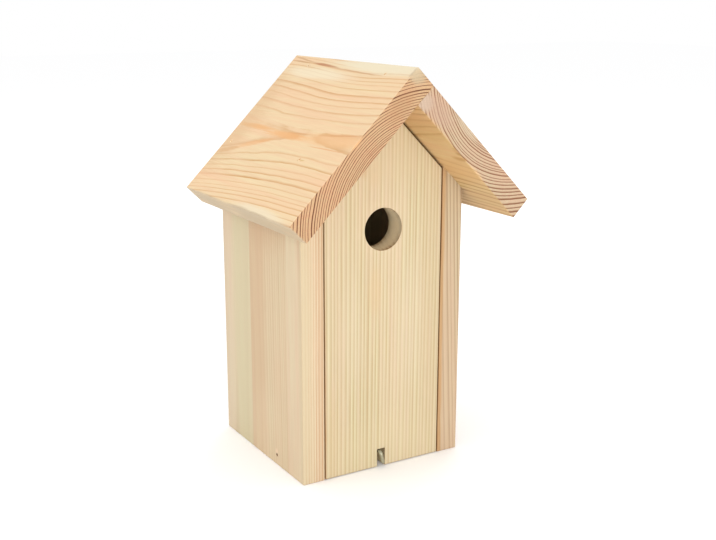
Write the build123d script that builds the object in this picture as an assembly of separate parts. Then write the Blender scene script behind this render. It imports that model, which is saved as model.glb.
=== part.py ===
from build123d import *
import math
import os

# Nest box of planed pine boards with a front that swings on two nails.
# Frame: +Z is up, the front faces -Y, and the origin is the middle of the walls' footprint.
# All sizes are in millimetres and all angles in degrees.

# Boards and the box
board = 18.0                 # thickness of every board
panel_width = 100.0          # the swinging front
wall_depth = 134.0           # side walls, from the front plane to the back plane
front_stave_width = 24.0     # first of the three glued staves of a side wall
middle_stave_width = 61.0    # second stave; the rear stave takes what is left
edge_ease = 0.6              # rounding of the arrises that a hand can reach

# Roof
ridge_height = 305.0         # outer corner of the roof above the ground
roof_pitch = 45.0
roof_slope = 140.0           # from the ridge to each eave along the outer face
front_overhang = 41.0        # roof beyond the front plane

# Front and its running gaps
side_gap = 1.0               # between the front and each side wall
bottom_gap = 0.5             # under the front
gable_gap = 2.2              # between the front and the roof, measured upright
floor_gap = 0.6              # between the front and the floor behind it
entrance_diameter = 32.0
entrance_height = 186.5
entrance_offset = -1.0       # from the middle of the front
pivot_drop = 10.5            # pivot below a side wall's outer top edge
notch_width = 7.0            # slot in the front's lower edge for the catch
notch_depth = 14.3
notch_offset = -1.7          # middle of the notch from the middle of the front

# Round nails that the front swings on
pivot_nail_diameter = 2.6
pivot_nail_length = 40.0
pivot_head_diameter = 5.2
pivot_head_height = 1.1
pivot_clearance = 0.08       # between the nail and its hole in the front
wood_clearance = 0.04        # between a nail or hook and its hole in a fixed board

# Lost-head nails
brad_diameter = 1.4
brad_head_diameter = 2.0
brad_head_height = 1.0
brad_set = 0.4               # depth of the head below the face
brad_length = 35.0
nail_point_length = 2.4
hole_end_room = 0.3          # empty space beyond each nail's point
floor_nail_setback = 43.0    # from the front plane
floor_nail_height = 8.0
eave_nail_setback = 10.0     # from the front or the back plane
eave_nail_inset = 5.0        # from a side wall's outer face
ridge_nail_setback = 32.0    # from each end of the roof

# Square-bend hook that keeps the front shut
hook_wire_diameter = 3.0
hook_bend_radius = 2.6       # at the middle of the wire
hook_height = 12.8           # middle of the shank
hook_offset = -3.3           # from the middle of the box
hook_drop = 9.5              # from the middle of the shank to the arm's end
hook_depth = 16.0            # shank inside the floor
hook_face_gap = 0.6          # between the arm and the front's face
hook_lean = 13.0             # the arm's foot leans to the right
hook_end_ease = 0.5

# Sizes and places that follow
pitch = math.radians(roof_pitch)
inner_half = panel_width / 2 + side_gap
outer_half = inner_half + board
front_plane = -wall_depth / 2
back_plane = wall_depth / 2
panel_back = front_plane + board
back_wall_front = back_plane - board
roof_front = front_plane - front_overhang
roof_under_ridge = ridge_height - board / math.cos(pitch)
lap_reach = board / (2 * math.sin(pitch))
pivot_line_y = front_plane + board / 2


def roof_underside(x):
    """Height of the roof boards' inner face at a distance from the middle."""
    return roof_under_ridge - abs(x) * math.tan(pitch)


pivot_height = roof_underside(outer_half) - pivot_drop
os.makedirs("parts", exist_ok=True)


def side_middle(section, side, y):
    """Middle of one side of a section, at the given depth."""
    start = section[side]
    end = section[(side + 1) % len(section)]
    return ((start[0] + end[0]) / 2, y, (start[1] + end[1]) / 2)


def plank(section, front, back, long_edges=(), front_edges=(), back_edges=()):
    """A board with an upright section from front to back, with the numbered edges eased."""
    outline = Polyline(*[(x, front, z) for x, z in section], close=True)
    body = extrude(make_face(outline), amount=back - front, dir=(0, 1, 0))
    middle = (front + back) / 2
    places = [(section[corner][0], middle, section[corner][1]) for corner in long_edges]
    places += [side_middle(section, side, front) for side in front_edges]
    places += [side_middle(section, side, back) for side in back_edges]
    edges = body.edges()
    picked = [min(edges, key=lambda edge: (edge @ 0.5 - Vector(*place)).length) for place in places]
    return fillet(picked, edge_ease) if picked else body


def rod(place, outward, radius, length):
    """A round bar that starts at a place and runs against the outward direction."""
    bar = Cylinder(radius, length, align=(Align.CENTER, Align.CENTER, Align.MAX))
    return Plane(origin=place, z_dir=outward) * bar


def nail(place, outward, diameter, head_diameter, head_height, length):
    """A round nail with the top of its head at the place."""
    shank_length = length - nail_point_length
    direction = Vector(*outward).normalized()
    shank = rod(place, outward, diameter / 2, shank_length)
    head = rod(place, outward, head_diameter / 2, head_height)
    cone = Cone(0.1, diameter / 2, nail_point_length, align=(Align.CENTER, Align.CENTER, Align.MAX))
    point = Plane(origin=Vector(*place) - direction * shank_length, z_dir=outward) * cone
    return shank + head + point


def brad(face_place, outward):
    """A lost-head nail set below the face that it is driven through."""
    place = Vector(*face_place) - Vector(*outward).normalized() * brad_set
    return nail(place, outward, brad_diameter, brad_head_diameter, brad_head_height, brad_length)


def brad_hole(face_place, outward):
    """The room of a lost-head nail in the boards, open at the face."""
    direction = Vector(*outward).normalized()
    top = Vector(*face_place) + direction * board
    pocket_length = board + brad_set + brad_head_height
    shank_length = board + brad_set + brad_length + hole_end_room
    pocket = rod(top, outward, brad_head_diameter / 2 + wood_clearance, pocket_length)
    shank = rod(top, outward, brad_diameter / 2 + wood_clearance, shank_length)
    return pocket + shank


def left_and_right(x):
    """The two mirrored places of a piece, with the side's name."""
    return (("left", -x), ("right", x))


# Lost-head nails: places of their heads on the faces and the way they point out
brads = {}
for side, x in left_and_right(outer_half):
    outward = (math.copysign(1, x), 0, 0)
    brads["floor_nail_" + side] = ((x, front_plane + floor_nail_setback, floor_nail_height), outward)
for side, x in left_and_right(outer_half - eave_nail_inset):
    face_height = ridge_height - abs(x) * math.tan(pitch)
    brads["eave_nail_" + side + "_front"] = ((x, front_plane + eave_nail_setback, face_height), (0, 0, 1))
    brads["eave_nail_" + side + "_rear"] = ((x, back_plane - eave_nail_setback, face_height), (0, 0, 1))
ridge_nail_x = -board / 2 * math.cos(pitch)
ridge_nail_z = ridge_height - board / 2 * math.sin(pitch)
ridge_nail_way = (-math.sin(pitch), 0, math.cos(pitch))
for end, y in (("front", roof_front + ridge_nail_setback), ("rear", back_plane - ridge_nail_setback)):
    brads["ridge_nail_" + end] = ((ridge_nail_x, y, ridge_nail_z), ridge_nail_way)
brad_holes = [brad_hole(place, outward) for place, outward in brads.values()]

# Pivot nails: each head lies on a side wall's outer face
pivots = {}
pivot_wall_holes = []
pivot_panel_holes = []
for side, x in left_and_right(outer_half):
    outward = (math.copysign(1, x), 0, 0)
    place = (x + math.copysign(pivot_head_height, x), pivot_line_y, pivot_height)
    sizes = (pivot_nail_diameter, pivot_head_diameter, pivot_head_height)
    pivots["pivot_nail_" + side] = nail(place, outward, *sizes, pivot_nail_length + pivot_head_height)
    start = (x, pivot_line_y, pivot_height)
    depth = pivot_nail_length + hole_end_room
    pivot_wall_holes.append(rod(start, outward, pivot_nail_diameter / 2 + wood_clearance, depth))
    pivot_panel_holes.append(rod(start, outward, pivot_nail_diameter / 2 + pivot_clearance, depth))


def drilled(body, holes):
    """The board with every hole that meets it cut out."""
    for hole in holes:
        body = body - hole
    return body


pieces = {}

# Side walls: three staves glued edge to edge, with tops bevelled to the roof
stave_ends = {
    "front": (front_plane, front_plane + front_stave_width),
    "middle": (front_plane + front_stave_width, front_plane + front_stave_width + middle_stave_width),
    "rear": (front_plane + front_stave_width + middle_stave_width, back_plane),
}
for side, sign in left_and_right(1):
    outer = sign * outer_half
    inner = sign * inner_half
    section = [(outer, 0), (inner, 0), (inner, roof_underside(inner)), (outer, roof_underside(outer))]
    for name, (start, end) in stave_ends.items():
        front_edges = (0, 1, 3) if name == "front" else ()
        back_edges = (0, 3) if name == "rear" else ()
        stave = plank(section, start, end, (0,), front_edges, back_edges)
        pieces[f"{side}_wall_{name}_stave"] = drilled(stave, brad_holes + pivot_wall_holes)

# Back wall: between the side walls, with a gable top under the roof boards
shoulder = roof_underside(inner_half)
back_section = [(-inner_half, 0), (inner_half, 0), (inner_half, shoulder)]
back_section += [(0, roof_under_ridge), (-inner_half, shoulder)]
pieces["back_wall"] = plank(back_section, back_wall_front, back_plane, (), (), (0,))

# Floor: between the walls, level with their lower edges
floor_front = panel_back + floor_gap
floor_section = [(-inner_half, 0), (inner_half, 0), (inner_half, board), (-inner_half, board)]
hook_hole_start = (hook_offset, floor_front, hook_height)
hook_hole_radius = hook_wire_diameter / 2 + wood_clearance
hook_hole = rod(hook_hole_start, (0, -1, 0), hook_hole_radius, hook_depth + hole_end_room)
floor = plank(floor_section, floor_front, back_wall_front, (), (0, 2), ())
pieces["floor"] = drilled(floor, brad_holes + [hook_hole])

# Swinging front: gable top, round entrance, notch for the catch
panel_half = panel_width / 2
panel_shoulder = roof_underside(panel_half) - gable_gap
panel_peak = roof_under_ridge - gable_gap
panel_section = [(-panel_half, bottom_gap), (panel_half, bottom_gap), (panel_half, panel_shoulder)]
panel_section += [(0, panel_peak), (-panel_half, panel_shoulder)]
panel = plank(panel_section, front_plane, panel_back, (), (0, 1, 2, 3, 4), (0, 1, 2, 3, 4))
cut_length = 2 * board
entrance_start = (entrance_offset, front_plane - board / 2, entrance_height)
entrance = rod(entrance_start, (0, -1, 0), entrance_diameter / 2, cut_length)
notch_place = (notch_offset, pivot_line_y, bottom_gap)
notch = Pos(*notch_place) * Box(notch_width, cut_length, 2 * notch_depth)
pieces["front_panel"] = drilled(panel, [entrance, notch] + pivot_panel_holes)

# Roof: the left board laps over the top edge of the right board
eave_x = roof_slope * math.cos(pitch)
eave_z = ridge_height - roof_slope * math.sin(pitch)
lap_corner = (lap_reach, ridge_height - lap_reach * math.tan(pitch))
eave_under_x = eave_x - board * math.sin(pitch)
eave_under_z = eave_z - board * math.cos(pitch)
left_section = [(0, ridge_height), lap_corner, (-eave_under_x, eave_under_z), (-eave_x, eave_z)]
right_section = [lap_corner, (eave_x, eave_z), (eave_under_x, eave_under_z), (0, roof_under_ridge)]
all_sides = (0, 1, 2, 3)
roof_left = plank(left_section, roof_front, back_plane, all_sides, all_sides, all_sides)
roof_right = plank(right_section, roof_front, back_plane, (0, 1, 2), all_sides, all_sides)
pieces["roof_left"] = drilled(roof_left, brad_holes)
pieces["roof_right"] = drilled(roof_right, brad_holes)

# Catch: a square-bend hook whose shank turns in the floor's front edge
hook_reach = front_plane - hook_face_gap - hook_wire_diameter / 2
hook_points = [(0, floor_front + hook_depth, 0), (0, hook_reach, 0), (0, hook_reach, -hook_drop)]
hook_path = FilletPolyline(*hook_points, radius=hook_bend_radius)
hook_start = Plane(origin=hook_path @ 0, z_dir=hook_path % 0)
hook_wire = sweep(hook_start * Circle(hook_wire_diameter / 2), path=hook_path)
arm_end = min(hook_wire.faces(), key=lambda face: face.center().Z)
hook_wire = fillet(arm_end.edges(), hook_end_ease)
pieces["catch_hook"] = Pos(hook_offset, 0, hook_height) * Rot(0, -hook_lean, 0) * hook_wire

# Nails
pieces.update(pivots)
for name, (place, outward) in brads.items():
    pieces[name] = brad(place, outward)

for name, piece in pieces.items():
    export_step(piece, f"parts/{name}.step")
    print(name, round(piece.volume, 1))
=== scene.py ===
import math

import bpy
import numpy as np
from mathutils import Euler, Matrix, Vector


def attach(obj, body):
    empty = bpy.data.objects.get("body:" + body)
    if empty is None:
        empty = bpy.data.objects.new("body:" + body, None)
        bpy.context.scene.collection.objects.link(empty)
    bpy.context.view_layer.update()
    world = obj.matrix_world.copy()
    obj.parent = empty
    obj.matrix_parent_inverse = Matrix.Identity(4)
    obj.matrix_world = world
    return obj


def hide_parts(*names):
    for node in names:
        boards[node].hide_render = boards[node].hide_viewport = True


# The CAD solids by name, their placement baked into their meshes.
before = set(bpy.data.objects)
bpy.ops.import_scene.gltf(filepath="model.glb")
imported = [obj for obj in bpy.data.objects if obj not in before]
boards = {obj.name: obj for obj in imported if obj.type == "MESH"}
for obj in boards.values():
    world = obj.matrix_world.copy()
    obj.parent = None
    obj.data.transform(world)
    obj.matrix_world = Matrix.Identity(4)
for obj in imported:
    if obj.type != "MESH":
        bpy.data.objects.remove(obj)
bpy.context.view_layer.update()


# Side walls. Each is three upright staves of planed Scots pine glued edge to edge and left bare,
# 18 mm thick. The staves come from different boards, so each has its own hue and its own rings.


def linear(code):
    """A colour from its sRGB hex code: each channel is undone from the sRGB curve, which is a
    straight line below 0.04045 and a power of 2.4 above it."""
    parts = [int(code[start : start + 2], 16) / 255 for start in (1, 3, 5)]
    parts = [part / 12.92 if part <= 0.04045 else ((part + 0.055) / 1.055) ** 2.4 for part in parts]
    return [*parts, 1.0]


def add(material, kind, sockets, **settings):
    """Adds one node with its settings. A value that is a socket is linked, any other is set on
    the node's own socket. Gives the node's first output."""
    made = material.node_tree.nodes.new(kind)
    for key, value in settings.items():
        setattr(made, key, value)
    for key, value in sockets.items():
        if isinstance(value, bpy.types.NodeSocket):
            material.node_tree.links.new(value, made.inputs[key])
        else:
            made.inputs[key].default_value = value
    return made.outputs[0]


def pine(
    name,
    early,
    late,
    pith,
    ring,
    end_early="#c6a985",
    end_late="#976a46",
    grain="Z",
    ring_at=100.0,
    widening=-1.0,
    length=230.0,
    lean=(0, 0, 0),
    bow=(0, 0, 0),
    warp=0.35,
    curl=180.0,
    uneven=0.8,
    contrast=1.0,
    onset=0.2,
    fine=1.0,
    hue=("#fff4ec", "#f8fff4"),
    swells=(),
    marks=(),
    seams=(),
    seed=0.0,
):
    """Planed, unfinished pine: matt, with a faint sheen on its hard late wood. It is cut from a
    trunk whose growth rings are worked out in space, so a board's faces and its end grain show
    the same rings. Sizes are in mm in the object's own frame.
    The pith starts at the point pith and runs along the grain; at the share t of length it has
    moved by lean times t plus bow times t squared. Waves of up to twice warp, and curl long, bend
    the rings. One ring ends at the distance ring_at from the pith, where rings are ring wide.
    Their width grows with that distance to the power of widening plus one, and uneven is how much
    it varies from year to year. Inside a ring the pale early wood darkens slowly, from the share
    onset, to the late wood, which ends sharply at the next ring. On the planed faces the rings are
    as strong as contrast, and their darkness is raised to the power fine, which thins them. hue
    gives the two tints that the board drifts between.
    swells push the rings aside near a place (place, radii, tilt about Y, push), marks are soft
    ellipsoids (place, radii, tilt about Y and then turn about the tilted Z in degrees, tint,
    strength), and seams are glue lines (place along Y, half width)."""
    wave_width = 22
    hue_width, hue_length = 30, 260
    streak_width, streak_length = 3, 60
    fibre_width, fibre_length = 0.8, 22
    wood = bpy.data.materials.new(name)
    wood.use_nodes = True
    wood.node_tree.nodes.remove(wood.node_tree.nodes["Principled BSDF"])

    # places in mm from the pith's start, turned so that the grain stands upright
    turn = Euler({"Z": (0, 0, 0), "Y": (math.pi / 2, 0, 0), "X": (0, -math.pi / 2, 0)}[grain])
    upright = turn.to_matrix()
    place = add(wood, "ShaderNodeTexCoord", {}).node
    spot = {
        "Vector": place.outputs["Object"],
        "Location": -(upright @ Vector(pith)),
        "Rotation": turn,
        "Scale": (1000, 1000, 1000),
    }
    spot = add(wood, "ShaderNodeMapping", spot)

    # distance from the pith, which bends along the board, with the waves added
    share = add(wood, "ShaderNodeSeparateXYZ", {0: spot}).node.outputs["Z"]
    share = add(wood, "ShaderNodeMath", {0: share, 1: length}, operation="DIVIDE")
    drift = {0: upright @ Vector(bow), 1: share, 2: upright @ Vector(lean)}
    drift = add(wood, "ShaderNodeVectorMath", drift, operation="MULTIPLY_ADD")
    drift = add(wood, "ShaderNodeVectorMath", {0: drift, 1: share}, operation="MULTIPLY")
    across = add(wood, "ShaderNodeVectorMath", {0: spot, 1: drift}, operation="SUBTRACT")
    waves = {0: spot, 1: (1 / wave_width, 1 / wave_width, 1 / curl), 2: (seed, seed, seed)}
    waves = add(wood, "ShaderNodeVectorMath", waves, operation="MULTIPLY_ADD")
    waves = {"Vector": waves, "Scale": 1.0, "Detail": 4.0, "Roughness": 0.5}
    waves = add(wood, "ShaderNodeTexNoise", waves).node.outputs["Color"]
    waves = {0: waves, 1: (4 * warp,) * 3, 2: (-2 * warp,) * 3}
    waves = add(wood, "ShaderNodeVectorMath", waves, operation="MULTIPLY_ADD")
    across = add(wood, "ShaderNodeVectorMath", {0: across, 1: waves}, operation="ADD")
    for centre, radii, tilt, push in swells:
        near = {
            "Vector": place.outputs["Object"],
            "Location": [value / 1000 for value in centre],
            "Rotation": (0, math.radians(tilt), 0),
            "Scale": [value / 1000 for value in radii],
        }
        near = add(wood, "ShaderNodeMapping", near, vector_type="TEXTURE")
        near = add(wood, "ShaderNodeVectorMath", {0: near}, operation="LENGTH").node.outputs["Value"]
        near = {"Value": near, "From Min": 1.0, "From Max": 0.1, "To Min": 0.0, "To Max": 1.0}
        near = add(wood, "ShaderNodeMapRange", near, interpolation_type="SMOOTHSTEP")
        near = {0: near, 1: upright @ Vector(push), 2: across}
        across = add(wood, "ShaderNodeVectorMath", near, operation="MULTIPLY_ADD")
    across = add(wood, "ShaderNodeVectorMath", {0: across, 1: (1, 1, 0)}, operation="MULTIPLY")
    radius = add(wood, "ShaderNodeVectorMath", {0: across}, operation="LENGTH").node.outputs["Value"]

    # rings counted outwards, with uneven widths
    change_per_year = 0.33
    count = ring_at / (ring * widening)
    grown = add(wood, "ShaderNodeMath", {0: radius, 1: ring_at}, operation="DIVIDE")
    grown = add(wood, "ShaderNodeMath", {0: grown, 1: -widening}, operation="POWER")
    grown = add(wood, "ShaderNodeMath", {0: grown, 1: -count, 2: count}, operation="MULTIPLY_ADD")
    years = {0: grown, 1: change_per_year, 2: seed}
    years = add(wood, "ShaderNodeMath", years, operation="MULTIPLY_ADD")
    years = {"W": years, "Scale": 1.0, "Detail": 1.0, "Roughness": 0.5}
    years = add(wood, "ShaderNodeTexNoise", years, noise_dimensions="1D")
    years = add(wood, "ShaderNodeMath", {0: years, 1: -0.5}, operation="ADD")
    grown = add(wood, "ShaderNodeMath", {0: years, 1: uneven, 2: grown}, operation="MULTIPLY_ADD")

    # late wood, which each year begins at a share of the ring and has a depth of its own
    year = add(wood, "ShaderNodeMath", {0: grown}, operation="FLOOR")
    season = add(wood, "ShaderNodeMath", {0: grown}, operation="FRACT")
    luck = add(wood, "ShaderNodeMath", {0: year, 1: seed}, operation="ADD")
    luck = add(wood, "ShaderNodeTexWhiteNoise", {"W": luck}, noise_dimensions="1D").node.outputs["Value"]
    latest_start, darkest, paler, peak = 0.22, 0.97, 0.28, 0.93
    rise = {0: luck, 1: latest_start, 2: onset + 0.04}
    rise = add(wood, "ShaderNodeMath", rise, operation="MULTIPLY_ADD")
    rise = {"Value": season, "From Min": rise, "From Max": peak}
    rise = add(wood, "ShaderNodeMapRange", rise, interpolation_type="SMOOTHSTEP")
    stop = {"Value": season, "From Min": peak, "From Max": 1.0, "To Min": 1.0, "To Max": 0.0}
    stop = add(wood, "ShaderNodeMapRange", stop)
    depth = {0: luck, 1: -paler, 2: darkest}
    depth = add(wood, "ShaderNodeMath", depth, operation="MULTIPLY_ADD")
    band = add(wood, "ShaderNodeMath", {0: rise, 1: stop}, operation="MULTIPLY")
    band = add(wood, "ShaderNodeMath", {0: band, 1: depth}, operation="MULTIPLY")

    # rings on the planed faces, stronger here and weaker there, and broken up by short streaks
    drifts = {
        0: spot,
        1: (1 / hue_width, 1 / hue_width, 1 / hue_length),
        2: (seed + 7, seed, seed),
    }
    drifts = add(wood, "ShaderNodeVectorMath", drifts, operation="MULTIPLY_ADD")
    drifts = {"Vector": drifts, "Scale": 1.0, "Detail": 2.0, "Roughness": 0.5}
    drifts = add(wood, "ShaderNodeTexNoise", drifts)
    drifts = add(wood, "ShaderNodeMapRange", {"Value": drifts, "From Min": 0.3, "From Max": 0.7})
    streaks = {0: spot, 1: (1 / streak_width, 1 / streak_width, 1 / streak_length)}
    streaks = add(wood, "ShaderNodeVectorMath", streaks, operation="MULTIPLY")
    streaks = add(wood, "ShaderNodeTexNoise", {"Vector": streaks, "Scale": 1.0, "Detail": 1.0})
    mild = {0: drifts, 1: 0.6 * contrast, 2: 0.7 * contrast}
    mild = add(wood, "ShaderNodeMath", mild, operation="MULTIPLY_ADD")
    thin = add(wood, "ShaderNodeMath", {0: band, 1: fine}, operation="POWER")
    mild = add(wood, "ShaderNodeMath", {0: thin, 1: mild}, operation="MULTIPLY")
    broken = add(wood, "ShaderNodeMath", {0: streaks, 1: 1.6, 2: 0.2}, operation="MULTIPLY_ADD")
    mild = add(wood, "ShaderNodeMath", {0: mild, 1: broken}, operation="MULTIPLY")
    face = {0: mild, 6: linear(early), 7: linear(late)}
    face = add(wood, "ShaderNodeMix", face, data_type="RGBA").node.outputs[2]

    # hue that drifts slowly over a board, and light and dark fibres, drawn 0.8 mm wide because the
    # real 0.03 mm ones are too fine to show
    hues = add(wood, "ShaderNodeMath", {0: streaks, 1: 1.6, 2: drifts}, operation="MULTIPLY_ADD")
    hues = add(wood, "ShaderNodeMapRange", {"Value": hues, "From Min": 0.5, "From Max": 2.1})
    hues = {0: hues, 6: linear(hue[0]), 7: linear(hue[1])}
    hues = add(wood, "ShaderNodeMix", hues, data_type="RGBA").node.outputs[2]
    fibres = {0: spot, 1: (1 / fibre_width, 1 / fibre_width, 1 / fibre_length)}
    fibres = add(wood, "ShaderNodeVectorMath", fibres, operation="MULTIPLY")
    fibres = {"Vector": fibres, "Scale": 1.0, "Detail": 2.0, "Roughness": 0.6}
    fibres = add(wood, "ShaderNodeTexNoise", fibres)
    shade = add(wood, "ShaderNodeMath", {0: streaks, 1: 0.10, 2: 0.95}, operation="MULTIPLY_ADD")
    grit = add(wood, "ShaderNodeMath", {0: fibres, 1: 0.14, 2: 0.93}, operation="MULTIPLY_ADD")
    shade = add(wood, "ShaderNodeMath", {0: shade, 1: grit}, operation="MULTIPLY")

    # end grain: sawn across the fibres it drinks light, so it is darker and its rings are stronger
    axis = {"X": (1, 0, 0), "Y": (0, 1, 0), "Z": (0, 0, 1)}[grain]
    sawn = {0: place.outputs["Normal"], 1: axis}
    sawn = add(wood, "ShaderNodeVectorMath", sawn, operation="DOT_PRODUCT").node.outputs["Value"]
    sawn = add(wood, "ShaderNodeMath", {0: sawn}, operation="ABSOLUTE")
    sawn = add(wood, "ShaderNodeMapRange", {"Value": sawn, "From Min": 0.5, "From Max": 0.9})
    strong = add(wood, "ShaderNodeMath", {0: band, 1: 1.5}, operation="MULTIPLY", use_clamp=True)
    end = {0: strong, 6: linear(end_early), 7: linear(end_late)}
    end = add(wood, "ShaderNodeMix", end, data_type="RGBA").node.outputs[2]
    colour = {0: sawn, 6: face, 7: end}
    colour = add(wood, "ShaderNodeMix", colour, data_type="RGBA").node.outputs[2]
    colour = add(wood, "ShaderNodeVectorMath", {0: colour, 1: hues}, operation="MULTIPLY")
    colour = add(wood, "ShaderNodeVectorMath", {0: colour, 1: shade}, operation="MULTIPLY")

    # marks in this board: resin, pale sapwood, pin knots, a bruise by a nail, and painted light and
    # shade in gaps, recesses and nail holes, with edges that waver with the waves and fray along the
    # fibres
    waver = 0.8 / 1000
    ripple = {0: waves, 1: (waver / warp,) * 3, 2: place.outputs["Object"]}
    ripple = add(wood, "ShaderNodeVectorMath", ripple, operation="MULTIPLY_ADD")
    for centre, radii, tilt, turned, tint, strength in marks:
        lie = Matrix.Rotation(math.radians(tilt), 3, "Y") @ Matrix.Rotation(math.radians(turned), 3, "Z")
        near = {
            "Vector": ripple,
            "Location": [value / 1000 for value in centre],
            "Rotation": lie.to_euler(),
            "Scale": [value / 1000 for value in radii],
        }
        near = add(wood, "ShaderNodeMapping", near, vector_type="TEXTURE")
        near = add(wood, "ShaderNodeVectorMath", {0: near}, operation="LENGTH").node.outputs["Value"]
        near = add(wood, "ShaderNodeMath", {0: fibres, 1: 0.7, 2: near}, operation="MULTIPLY_ADD")
        near = {"Value": near, "From Min": 1.35, "From Max": 0.7, "To Min": 0.0, "To Max": strength}
        near = add(wood, "ShaderNodeMapRange", near, interpolation_type="SMOOTHSTEP")
        near = {0: near, 6: colour, 7: linear(tint)}
        colour = add(wood, "ShaderNodeMix", near, data_type="RGBA").node.outputs[2]

    # glue lines, a thin brown film that soaks a little way into the wood
    film = linear("#b98a5c")[:3]
    for where, half in seams:
        side = add(wood, "ShaderNodeSeparateXYZ", {0: place.outputs["Object"]}).node.outputs["Y"]
        side = add(wood, "ShaderNodeMath", {0: side, 1: where / 1000}, operation="SUBTRACT")
        side = add(wood, "ShaderNodeMath", {0: side}, operation="ABSOLUTE")
        side = {"Value": side, "From Min": half / 1000, "From Max": 0.0, "To Min": 0.0, "To Max": 0.12}
        side = add(wood, "ShaderNodeMapRange", side, interpolation_type="SMOOTHSTEP")
        glue = add(wood, "ShaderNodeVectorMath", {0: colour, 1: film}, operation="MULTIPLY")
        glue = {0: side, 6: colour, 7: glue}
        colour = add(wood, "ShaderNodeMix", glue, data_type="RGBA").node.outputs[2]

    # the planer leaves the hard late wood a few hundredths of a mm proud, the saw a rougher end
    relief_height = 0.12 / 1000
    matt = 0.62
    relief = add(wood, "ShaderNodeMath", {0: band, 1: 0.5, 2: fibres}, operation="MULTIPLY_ADD")
    rough = add(wood, "ShaderNodeMath", {0: sawn, 1: 2.0, 2: 1.0}, operation="MULTIPLY_ADD")
    relief = add(wood, "ShaderNodeMath", {0: relief, 1: rough}, operation="MULTIPLY")
    relief = {"Height": relief, "Strength": 0.5, "Distance": relief_height}
    relief = add(wood, "ShaderNodeBump", relief)
    gloss = add(wood, "ShaderNodeMath", {0: band, 1: -0.1, 2: matt}, operation="MULTIPLY_ADD")
    gloss = add(wood, "ShaderNodeMath", {0: sawn, 1: 0.2, 2: gloss}, operation="MULTIPLY_ADD")
    surface = {"Base Color": colour, "Roughness": gloss, "IOR": 1.45, "Normal": relief}
    surface = add(wood, "ShaderNodeBsdfPrincipled", surface)
    wood.node_tree.links.new(surface, wood.node_tree.nodes["Material Output"].inputs["Surface"])
    return wood


# pale straw sapwood, cut along the rings, so they are wide and faint; pinker at its very back
rear_pine = pine(
    "planed_pine_straw",
    early="#c5b59a",
    late="#b8a588",
    pith=(5, 48, 0),
    ring=3.0,
    ring_at=74.0,
    lean=(0, -6, 0),
    warp=0.5,
    contrast=0.8,
    marks=[
        ((-69, 62, 120), (4, 18, 300), 0, 0, "#c9ad9a", 0.3),
        ((-69, 32, 120), (4, 22, 300), 0, 0, "#bdb08d", 0.6),
    ],
    seams=[(18, 0.5)],
    seed=3.1,
)
boards["left_wall_rear_stave"].data.materials[0] = rear_pine
# rosy board, its rings leaning through the face so that they close up towards the front
middle_pine = pine(
    "planed_pine_rosy",
    early="#c8b397",
    late="#b8977a",
    pith=(21, 20, 0),
    ring=1.6,
    ring_at=92.0,
    lean=(0, 3, 0),
    warp=0.3,
    contrast=0.6,
    marks=[
        # browner by the rear joint and under the eave, paler at the foot
        ((-69, 6, 130), (5, 20, 220), 0, 0, "#b79976", 0.55),
        ((-69, -8, 20), (5, 40, 50), 0, 0, "#d2be9e", 0.18),
        ((-69, -12, 200), (4, 60, 45), 0, 0, "#b89672", 0.45),
        # a pale bruise, and a dark dot of painted shade for the floor nail's hole
        ((-69, -23.5, 10.5), (2, 2.6, 3.4), 0, 0, "#d9bb9d", 0.7),
        ((-69, -23.8, 8.2), (1.5, 1.7, 1.7), 0, 0, "#50351a", 0.95),
    ],
    seams=[(18, 0.5), (-43, 0.3)],
    seed=8.4,
)
boards["left_wall_middle_stave"].data.materials[0] = middle_pine
# peach board; its narrow front edge is half sapwood, half close pink rings
front_pine = pine(
    "planed_pine_peach",
    early="#cab69c",
    late="#b68c6f",
    pith=(20, -50, 0),
    ring=2.2,
    ring_at=80.0,
    lean=(0, 4, 0),
    warp=0.3,
    contrast=0.9,
    marks=[
        # sapwood on the front edge, and beside it a browner line of painted shade along the gap
        ((-70, -69, 110), (14, 9, 300), 0, 0, "#c1b18f", 0.75),
        ((-53, -67, 110), (5, 3, 300), 0, 0, "#b59570", 0.3),
    ],
    seams=[(-43, 0.3)],
    seed=5.7,
)
boards["left_wall_front_stave"].data.materials[0] = front_pine
# the right wall's staves: the same three hues, with rings of their own
right_front_pine = pine(
    "planed_pine_peach_right",
    early="#bba78d",
    late="#8f7355",
    pith=(22, -24, 0),
    ring=2.7,
    ring_at=62.0,
    lean=(-9, 0, 0),
    warp=0.4,
    contrast=0.85,
    marks=[
        # painted shade: golden and brown on the faces beside the gap, where shade falls between the wall
        # and the front
        ((52, -66, 110), (3, 8, 400), 0, 0, "#ad7f48", 0.65),
        ((51, -65.2, 110), (1, 2.5, 400), 0, 0, "#8f6236", 0.7),
    ],
    seams=[(-43, 0.3)],
    seed=12.9,
)
boards["right_wall_front_stave"].data.materials[0] = right_front_pine
right_middle_pine = pine(
    "planed_pine_rosy_right",
    early="#c8b397",
    late="#b8977a",
    pith=(-18, -8, 0),
    ring=1.9,
    ring_at=88.0,
    lean=(0, 5, 0),
    warp=0.4,
    contrast=0.6,
    seams=[(18, 0.5), (-43, 0.3)],
    seed=15.2,
)
boards["right_wall_middle_stave"].data.materials[0] = right_middle_pine
right_rear_pine = pine(
    "planed_pine_straw_right",
    early="#c6b79f",
    late="#baa88d",
    pith=(140, 30, 0),
    ring=2.6,
    ring_at=74.0,
    lean=(0, -5, 0),
    warp=0.5,
    contrast=0.8,
    seams=[(18, 0.5)],
    seed=18.6,
)
boards["right_wall_rear_stave"].data.materials[0] = right_rear_pine


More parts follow.
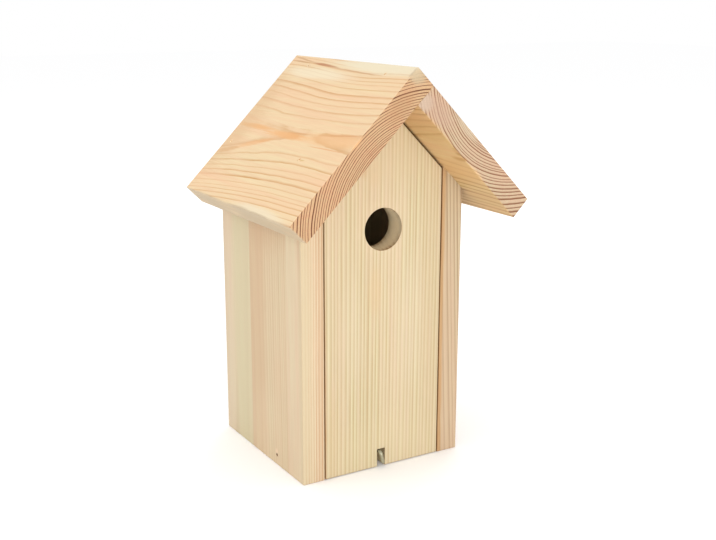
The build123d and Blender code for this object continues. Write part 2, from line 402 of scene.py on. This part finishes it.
# Back wall and floor. Single pine boards glued between the side walls, the back with its grain
# upright and a gable top, the floor with its grain running across, its end grain to the walls.
back_pine = pine(
    "planed_pine_back",
    early="#c7b79f",
    late="#b3987a",
    pith=(-12, 128, 0),
    ring=2.4,
    ring_at=76.0,
    length=280,
    lean=(9, 0, 0),
    bow=(0, 5, 0),
    warp=0.6,
    contrast=0.8,
    seed=21.3,
)
boards["back_wall"].data.materials[0] = back_pine
floor_pine = pine(
    "planed_pine_floor",
    early="#c7b79f",
    late="#b3987a",
    pith=(-51, 12, -48),
    ring=2.3,
    grain="X",
    ring_at=70.0,
    length=102,
    warp=0.4,
    marks=[
        # painted light round the catch, on the floor's front edge where it lies in shade in the notch
        ((-1.7, -48.4, 8), (8, 4, 14), 0, 0, "#e2cfa9", 0.6),
    ],
    seed=24.8,
)
boards["floor"].data.materials[0] = floor_pine


# Roof. Two pine boards with their grain running from front to back, sawn square at both ends,
# the left one lapping over the top edge of the right one. They show the strongest rings.
left_roof_pine = pine(
    "planed_pine_roof_left",
    early="#dec2a2",
    late="#c08850",
    end_early="#c09b7b",
    end_late="#5e2f12",
    pith=(9.2, -108, 198.2),
    ring=1.8,
    grain="Y",
    ring_at=82.4,
    widening=0.3,
    length=175,
    lean=(-3.2, 0, -6.7),
    bow=(-6.9, 0, -1.6),
    warp=0.36,
    curl=60.0,
    contrast=0.74,
    onset=0.4,
    fine=1.6,
    hue=("#fff0e4", "#f6fff1"),
    swells=[((-10.6, 92, 294.4), (65, 160, 60), -45, (-9.2, 0, -9.2))],
    marks=[
        # sapwood along the ridge, and a pale zone below it
        ((-2, -68, 303), (9.5, 92, 8), -45, 0, "#d9cdb0", 0.95),
        ((-11.3, 14, 293.7), (7.5, 72, 3), -45, 0, "#ded1b4", 0.7),
        # clear wood above the resin band
        ((-47.9, -26, 257.1), (3, 27, 3), -45, 0, "#dcbc95", 0.85),
        ((-46, 30, 259), (3.4, 50, 3), -45, -3.3, "#dabc95", 0.85),
        # resin band: its wide front part with darker edges, then its branches towards the back
        ((-49.4, -80, 255.6), (8.5, 62, 3), -45, 4, "#dfab74", 0.5),
        ((-45.8, -83, 259.2), (0.8, 30, 2), -45, 7.4, "#c48a55", 0.7),
        ((-55.2, -78, 249.8), (0.8, 32, 2), -45, 2.4, "#d08f5c", 0.6),
        ((-49.9, -28, 255.1), (0.8, 24, 2), -45, 5, "#c48a55", 0.55),
        ((-52.5, -15, 252.5), (4.5, 40, 3), -45, 2, "#dca062", 0.7),
        ((-51.3, 37, 253.7), (3.2, 42, 3), -45, 0, "#d69d5f", 0.7),
        ((-61.5, 20, 243.5), (3.5, 32, 3), -45, 18, "#d8a069", 0.6),
        ((-69.3, 52, 235.7), (3, 22, 3), -45, 17, "#c79764", 0.6),
        # sapwood along the eave, and painted shade that darkens and warms the top towards the back
        ((-98, -60, 207), (6, 52, 8), -45, 0, "#dacaac", 0.88),
        ((-49.5, 72, 255.5), (75, 44, 4), -45, 0, "#c8a378", 0.5),
        # front end grain, darker under the ridge
        ((-13.4, -108, 278.8), (20, 4, 10), -45, 0, "#a47650", 0.35),
        # resin streaks below the ridge, and a short golden one by the eave nail
        ((-7, -43, 298), (0.9, 42, 2), -45, -1.5, "#bd9369", 0.8),
        ((-5, 12, 300), (1.5, 28, 2), -45, -3.9, "#a8683e", 0.8),
        ((-2.8, 47, 302.2), (1.2, 26, 2), -45, -5.7, "#b68a5f", 0.7),
        ((-4.5, 49, 300.5), (1.0, 22, 2), -45, -0.8, "#b68a5f", 0.7),
        ((-64.5, -59, 240.5), (0.9, 7, 2), -45, 8, "#bf9c5f", 0.7),
        # the eave's sawn edge, and sapwood at the apex of the front end
        ((-93.4, -20, 198.9), (2.6, 400, 40), -45, 0, "#b3a083", 0.9),
        ((0, -108, 299), (10, 4, 8), 0, 0, "#b39e7e", 0.85),
        # painted light round the four nails, lifting the shade in their holes
        ((-6.4, -76, 298.6), (2.5, 2.5, 2.5), 0, 0, "#dcc4a2", 0.9),
        ((-6.4, 35, 298.6), (2.5, 2.5, 2.5), 0, 0, "#dcc4a2", 0.9),
        ((-64, -57, 241), (2.5, 2.5, 2.5), 0, 0, "#dcbc95", 0.9),
        ((-64, 57, 241), (2.5, 2.5, 2.5), 0, 0, "#dcbc95", 0.9),
    ],
    seed=31.4,
)
boards["roof_left"].data.materials[0] = left_roof_pine
right_roof_pine = pine(
    "planed_pine_roof_right",
    early="#dab88d",
    late="#b2824f",
    end_early="#bda28c",
    end_late="#7e5339",
    pith=(86.3, -108, 297.9),
    ring=2.1,
    grain="Y",
    ring_at=72.0,
    widening=0.3,
    length=175,
    lean=(6, 0, 3),
    warp=0.45,
    curl=80.0,
    contrast=0.9,
    onset=0.3,
    fine=1.5,
    hue=("#fff1e6", "#f6fff1"),
    marks=[
        # front end grain: sapwood at the apex, then a greyer and a paler stretch
        ((7, -108, 280.5), (8, 4, 8), 0, 0, "#b7a08b", 0.9),
        ((18.4, -108, 273.9), (20, 4, 10), 45, 0, "#b0927c", 0.5),
        ((41, -108, 261.2), (18, 4, 4), 45, 0, "#bfae93", 0.5),
        # a fleck of resin on the underside
        ((40.3, -103, 239.2), (3, 12, 3), 45, 0, "#b07a35", 0.5),
        # underside, warm near the ridge, pale in the middle and brown at the eave; by the wall, painted
        # shade where the wall shades it
        ((19.1, -90, 260.5), (22, 60, 3), 45, 0, "#c69c62", 0.35),
        ((50, -90, 229.5), (14, 60, 3), 45, 0, "#d9b27c", 0.5),
        ((74, -92, 205.5), (14, 50, 3), 45, 0, "#a97f4c", 0.15),
        ((69.5, -35, 210), (5, 45, 5), 45, 0, "#94724b", 0.5),
    ],
    seed=36.2,
)
boards["roof_right"].data.materials[0] = right_roof_pine


# Front. One wide quarter-sawn pine board with straight upright rings about 3 mm apart, a round
# entrance bored through it and a notch in its lower edge for the catch. It hangs on two nails.
panel_pine = pine(
    "planed_pine_front",
    early="#c8b9a1",
    late="#b39b7e",
    end_early="#c6ab8a",
    end_late="#a07a54",
    pith=(-230, 10, 0),
    ring=3.0,
    ring_at=200.0,
    length=280,
    lean=(1.5, 0, 0),
    warp=0.2,
    uneven=0.9,
    contrast=0.9,
    onset=0.0,
    hue=("#fff3ea", "#f7fde8"),
    marks=[
        # lighter bored faces inside the entrance, and painted light on the sawn faces inside the notch,
        # which lie in shade
        ((-1, -58, 186.5), (45, 10.5, 45), 0, 0, "#eedcb8", 0.9),
        ((-1.7, -58, 6), (7, 9.7, 12), 0, 0, "#eedcb8", 0.8),
        # brown figure on the face
        ((-9, -67, 229), (8, 3, 17), 0, 0, "#c0a57f", 0.4),
        ((-8, -67, 140), (8, 3, 26), 0, 0, "#c4a67b", 0.35),
        ((-45, -67, 30), (6, 3, 60), 0, 0, "#bea57c", 0.3),
        # broad tones: browner in the gable and at the right, paler in the middle and at the foot
        ((0, -67, 238), (45, 3, 26), 0, 0, "#c2ae8b", 0.3),
        ((44, -67, 120), (16, 3, 150), 0, 0, "#b29b74", 0.25),
        ((24, -67, 110), (16, 3, 70), 0, 0, "#cdbfa6", 0.15),
        ((-27, -67, 110), (12, 3, 60), 0, 0, "#cdbfa6", 0.15),
        ((0, -67, 0), (70, 3, 55), 0, 0, "#cebd9a", 0.22),
        # a brown smudge under the roof, and painted shade on the left edge, in the gap beside the wall
        ((-18, -67, 233), (5, 3, 10), 0, 8, "#b98f66", 0.35),
        ((-50.3, -65.2, 110), (1, 2.2, 400), 0, 0, "#b5793c", 0.7),
    ],
    seed=41.7,
)
boards["front_panel"].data.materials[0] = panel_pine


# Nails. Steel wire nails, zinc plated: two 40 mm ones carry the front, and lost-head ones set below
# the surface hold the boards. The floor's heads are dark brown, painted shade for their holes; the
# roof's are pale, painted light that lifts the shade of their holes.
def zinc(name, colour, dull):
    """Zinc-plated steel wire: a dull metal whose plating varies in patches about 1.5 mm across,
    with fine scratches drawn 0.15 mm wide."""
    patch_width = 1.5
    scratch_width = 0.15
    scratch_depth = 0.03 / 1000
    metal = bpy.data.materials.new(name)
    metal.use_nodes = True
    metal.node_tree.nodes.remove(metal.node_tree.nodes["Principled BSDF"])
    spot = add(metal, "ShaderNodeTexCoord", {}).node.outputs["Object"]
    patches = {"Vector": spot, "Scale": 1000 / patch_width, "Detail": 3.0}
    patches = add(metal, "ShaderNodeTexNoise", patches)
    scratches = {"Vector": spot, "Scale": 1000 / scratch_width, "Detail": 1.0}
    scratches = add(metal, "ShaderNodeTexNoise", scratches)
    tone = add(metal, "ShaderNodeMapRange", {"Value": patches, "To Min": 0.8, "To Max": 1.15})
    tone = add(metal, "ShaderNodeVectorMath", {0: linear(colour)[:3], 1: tone}, operation="MULTIPLY")
    gloss = {"Value": patches, "From Min": 0.3, "From Max": 0.7}
    gloss |= {"To Min": dull - 0.08, "To Max": dull + 0.1}
    gloss = add(metal, "ShaderNodeMapRange", gloss)
    relief = {"Height": scratches, "Strength": 0.4, "Distance": scratch_depth}
    relief = add(metal, "ShaderNodeBump", relief)
    surface = {"Base Color": tone, "Metallic": 1.0, "Roughness": gloss, "Normal": relief}
    surface = add(metal, "ShaderNodeBsdfPrincipled", surface)
    metal.node_tree.links.new(surface, metal.node_tree.nodes["Material Output"].inputs["Surface"])
    return metal


nail_zinc = zinc("dull_zinc_nails", "#8d8778", 0.45)
# dark brown heads: painted shade for the floor nails' holes
dark_zinc_painted_shade = zinc("dark_zinc_nails_painted_shade", "#7a5330", 0.6)
# pale tan heads: painted light that lifts the shade in the roof nails' holes
pale_zinc_painted_light = zinc("pale_zinc_nails_painted_light", "#f4dcb4", 0.5)
for name, board in boards.items():
    if "pivot_nail" in name:
        board.data.materials[0] = nail_zinc
    elif "floor_nail" in name:
        board.data.materials[0] = dark_zinc_painted_shade
    elif "_nail_" in name:
        board.data.materials[0] = pale_zinc_painted_light


# Catch. A square-bend screw hook of 3 mm zinc-plated wire, screwed into the floor's front edge.
# The shank passes through the notch and the arm hangs in front of it, leaning a little, until a
# quarter turn puts it across the front.
def swept(name, centre, side, over, radius):
    """A closed tube. A ring of points stands round each centre point, at radius (one row per
    centre point, one column per angle) times the cosine of the angle along side plus its sine
    along over. The two ends close on their centre points."""
    rows, columns = radius.shape
    angle = np.arange(columns) * 2 * np.pi / columns
    spokes = np.cos(angle)[:, None] * side[:, None, :] + np.sin(angle)[:, None] * over[:, None, :]
    points = centre[:, None, :] + radius[..., None] * spokes
    points = np.concatenate([points.reshape(-1, 3), centre[:1], centre[-1:]])
    row, column = np.meshgrid(np.arange(rows - 1), np.arange(columns), indexing="ij")
    after = (column + 1) % columns
    corners = [row * columns + column, row * columns + after]
    corners += [(row + 1) * columns + after, (row + 1) * columns + column]
    quads = np.stack(corners, -1).reshape(-1, 4)
    first = np.arange(columns)
    second = (first + 1) % columns
    start = np.stack([np.full(columns, rows * columns), second, first], -1)
    last = (rows - 1) * columns
    stop = np.stack([np.full(columns, rows * columns + 1), last + first, last + second], -1)
    mesh = bpy.data.meshes.new(name)
    mesh.from_pydata(points.tolist(), [], quads.tolist() + start.tolist() + stop.tolist())
    mesh.shade_smooth()
    made = bpy.data.objects.new(name, mesh)
    bpy.context.scene.collection.objects.link(made)
    return made


wire = 3.0
facets = 40
bend = 2.6
shank_end = -66.5
shank_inside = -32.4
shank_place = (-3.3, 12.8)
arm_length = 9.5
arm_lean = math.radians(13)
cut_ease = 0.5
tip_blunt = 0.5
tip_length = 4.5
thread_pitch = 1.1
thread_depth = 0.26
thread_length = 18.5
thread_fade = 1.5

# places along the wire's middle line, from the tip in the floor, ten to a turn of the thread
straight = shank_inside - shank_end
corner = bend * math.pi / 2
whole = straight + corner + arm_length - bend
way = np.concatenate(
    [
        np.arange(0, thread_length + 2, thread_pitch / 10),
        np.linspace(thread_length + 2.2, straight, 12),
        straight + np.linspace(0.08, 1, 16) * corner,
        np.linspace(straight + corner + 0.5, whole - cut_ease, 6),
        whole - cut_ease * (1 - np.sin(np.linspace(0.15, 1, 7) * np.pi / 2)),
    ]
)

# a straight shank towards the front, a quarter circle of radius bend, and a straight arm downwards
swing = np.clip((way - straight) / bend, 0, np.pi / 2)[:, None]
onward = np.clip(way - straight - corner, 0, None)[:, None]
outward = np.array([0.0, -1.0, 0.0])
down = np.array([math.sin(arm_lean), 0.0, -math.cos(arm_lean)])
centre = np.array([shank_place[0], shank_inside, shank_place[1]])
centre = centre + outward * (np.minimum(way, straight)[:, None] + bend * np.sin(swing))
centre = centre + down * (bend * (1 - np.cos(swing)) + onward)
tangent = outward * np.cos(swing) + down * np.sin(swing)
side = np.broadcast_to(np.cross(outward, down), tangent.shape)
over = np.cross(tangent, side)

# the wire's radius, rounded off at its cut end, tapered to the tip, less a groove that follows the
# angle once round for each pitch and fades out at the thread's end
angle = np.arange(facets) * 2 * np.pi / facets
left_over = np.clip(whole - way, 0, cut_ease)[:, None]
eased = wire / 2 - cut_ease + np.sqrt(cut_ease**2 - (cut_ease - left_over) ** 2)
tip = np.clip((way + tip_blunt) / tip_length, 0, 1)[:, None]
cut = np.clip((thread_length - way) / thread_fade, 0, 1)[:, None]
groove = (0.5 + 0.5 * np.cos(2 * np.pi * way[:, None] / thread_pitch - angle)) ** 1.5
radius = eased * tip - thread_depth * cut * tip * groove
hook = swept("catch_wire", centre / 1000, side, over, radius / 1000)
hook.data.materials.append(zinc("dull_zinc_wire", "#a8a48d", 0.5))
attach(hook, "catch")
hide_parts("catch_hook")


# Studio. A plain white floor, white light from all round, three soft boxes and a camera at the
# photograph's place. One soft box stands in front beside the camera, one on the left and one behind
# on the right, all turned to the middle of the nest box.
half_floor = 6.0
floor_height = -0.0001
corners = [(-half_floor, -half_floor), (half_floor, -half_floor)]
corners += [(half_floor, half_floor), (-half_floor, half_floor)]
ground_mesh = bpy.data.meshes.new("studio_floor")
ground_mesh.from_pydata([(x, y, floor_height) for x, y in corners], [], [(0, 1, 2, 3)])
ground = bpy.data.objects.new("studio_floor", ground_mesh)
bpy.context.scene.collection.objects.link(ground)
# matt white paper without any gloss
paper = bpy.data.materials.new("white_paper")
paper.use_nodes = True
paper_finish = paper.node_tree.nodes["Principled BSDF"]
paper_finish.inputs["Base Color"].default_value = (0.99, 0.99, 0.992, 1)
paper_finish.inputs["Roughness"].default_value = 0.9
paper_finish.inputs["Specular IOR Level"].default_value = 0.0
ground_mesh.materials.append(paper)

world = bpy.data.worlds.new("studio_white")
world.use_nodes = True
world.node_tree.nodes["Background"].inputs["Color"].default_value = (1, 1, 1, 1)
world.node_tree.nodes["Background"].inputs["Strength"].default_value = 1.0
bpy.context.scene.world = world

# name, place, width and height in metres, watts
box_middle = Vector((0, 0, 0.15))
for name, stand, width, height, watts in (
    ("key_light", (-0.25, -1.9, 0.46), 0.7, 0.5, 16.4),
    ("side_light", (-1.9, 0.35, 0.95), 1.3, 1.0, 10.5),
    ("back_light", (1.3, 1.2, 1.3), 1.3, 1.0, 8.0),
):
    lamp = bpy.data.lights.new(name, "AREA")
    lamp.shape = "RECTANGLE"
    lamp.size = width
    lamp.size_y = height
    lamp.energy = watts
    soft_box = bpy.data.objects.new(name, lamp)
    facing = (Vector(stand) - box_middle).to_track_quat("Z", "Y").to_matrix().to_4x4()
    soft_box.matrix_world = Matrix.Translation(stand) @ facing
    bpy.context.scene.collection.objects.link(soft_box)

# the camera's place, aim, roll and lens, found by fitting the box's edges to the photograph's
eye = Vector((-0.408929, -0.712695, 0.350545))
aim = Vector((0.0134008, -0.007, 0.1408137))
roll = math.radians(0.1021)
ahead = (aim - eye).normalized()
right = ahead.cross(Vector((0, 0, 1))).normalized()
up = right.cross(ahead)
right, up = math.cos(roll) * right + math.sin(roll) * up, math.cos(roll) * up - math.sin(roll) * right
lens = bpy.data.cameras.new("camera")
lens.lens = 53.9007
lens.sensor_width = 36
lens.sensor_fit = "HORIZONTAL"
lens.clip_start = 0.01
camera = bpy.data.objects.new("camera", lens)
camera.matrix_world = Matrix.Translation(eye) @ Matrix((right, up, -ahead)).transposed().to_4x4()
bpy.context.scene.collection.objects.link(camera)
bpy.context.scene.camera = camera
bpy.context.scene.view_settings.view_transform = "Standard"
